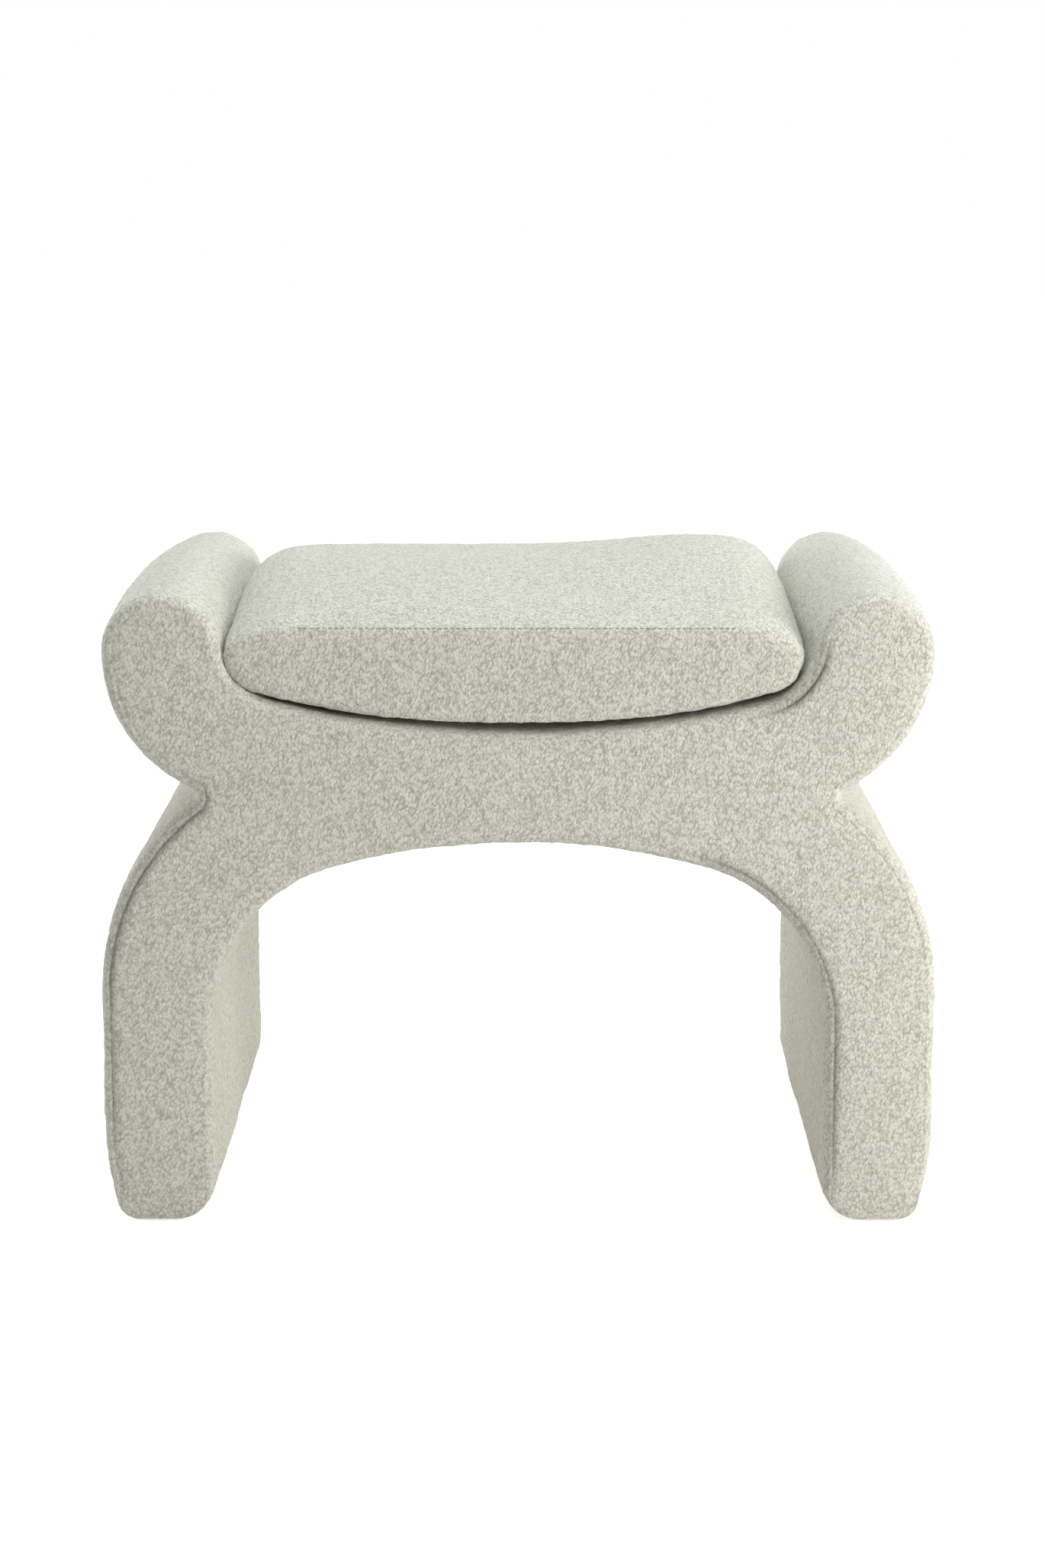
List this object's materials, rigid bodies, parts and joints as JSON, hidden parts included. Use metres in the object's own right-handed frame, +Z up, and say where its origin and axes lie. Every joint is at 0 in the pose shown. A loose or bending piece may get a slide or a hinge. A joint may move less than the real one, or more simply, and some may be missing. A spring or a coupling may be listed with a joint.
{
  "type": "pouf",
  "caption": "Bouclé-covered curule pouf: an arched stool with splayed shoulders, a pinched waist, rolled sides, a saddle seat and a loose zipped cushion.",
  "frame": {"origin": "on the floor under the middle of the pouf", "axes": "+X to the right and along the longest side, from roll to roll, +Y to the rear, +Z up"},
  "size_m": [0.656, 0.45, 0.51],
  "materials": {
    "boucle": "nubby looped wool mix in a light warm grey",
    "plywood": "raw plywood, hidden under the cover",
    "timber": "raw softwood, hidden under the cover",
    "bent_board": "bent thin board, hidden under the foam",
    "foam": "open-cell upholstery foam, hidden under the cover",
    "fibre": "loose fibre wadding, hidden under the cover",
    "glide_plastic": "plain moulded plastic",
    "zip_fabric": "woven tape",
    "zip_nylon": "moulded coil",
    "zip_metal": "plain metal"
  },
  "bodies": {
    "stool": {"front_frame_panel": "plywood", "rear_frame_panel": "plywood", "left_outer_spine_rail": "timber", "left_inner_spine_rail": "timber", "centre_spine_rail": "timber", "right_inner_spine_rail": "timber", "right_outer_spine_rail": "timber", "left_leg_rail": "timber", "right_leg_rail": "timber", "left_roll_dowel": "timber", "right_roll_dowel": "timber", "left_foot_block": "timber", "right_foot_block": "timber", "foot_glides": "glide_plastic", "arch_skin": "bent_board", "saddle_skin": "bent_board", "left_leg_skin": "bent_board", "right_leg_skin": "bent_board", "front_foam_pad": "foam", "rear_foam_pad": "foam", "arch_foam": "foam", "saddle_foam": "foam", "left_leg_foam": "foam", "right_leg_foam": "foam", "front_cover": "boucle", "rear_cover": "boucle", "arch_cover": "boucle", "saddle_cover": "boucle", "left_leg_cover": "boucle", "right_leg_cover": "boucle"},
    "cushion": {"cushion_foam_core": "foam", "cushion_fibre_wrap": "fibre", "cushion_front_panel": "boucle", "cushion_wrap_cover": "boucle", "cushion_rear_upper_panel": "boucle", "cushion_rear_lower_panel": "boucle", "zip_tape": "zip_fabric", "zip_teeth": "zip_nylon", "left_zip_stop": "zip_metal", "right_zip_stop": "zip_metal"},
    "slider": {"zip_slider": "zip_metal"}
  },
  "joints": [
    {"name": "cushion_lift", "type": "slide", "parent": "stool", "child": "cushion", "axis": [0, 0, 1], "range_m": [0, 0.25]},
    {"name": "zip_slide", "type": "slide", "parent": "cushion", "child": "slider", "axis": [-1, 0, 0], "range_m": [0, 0.347]}
  ]
}
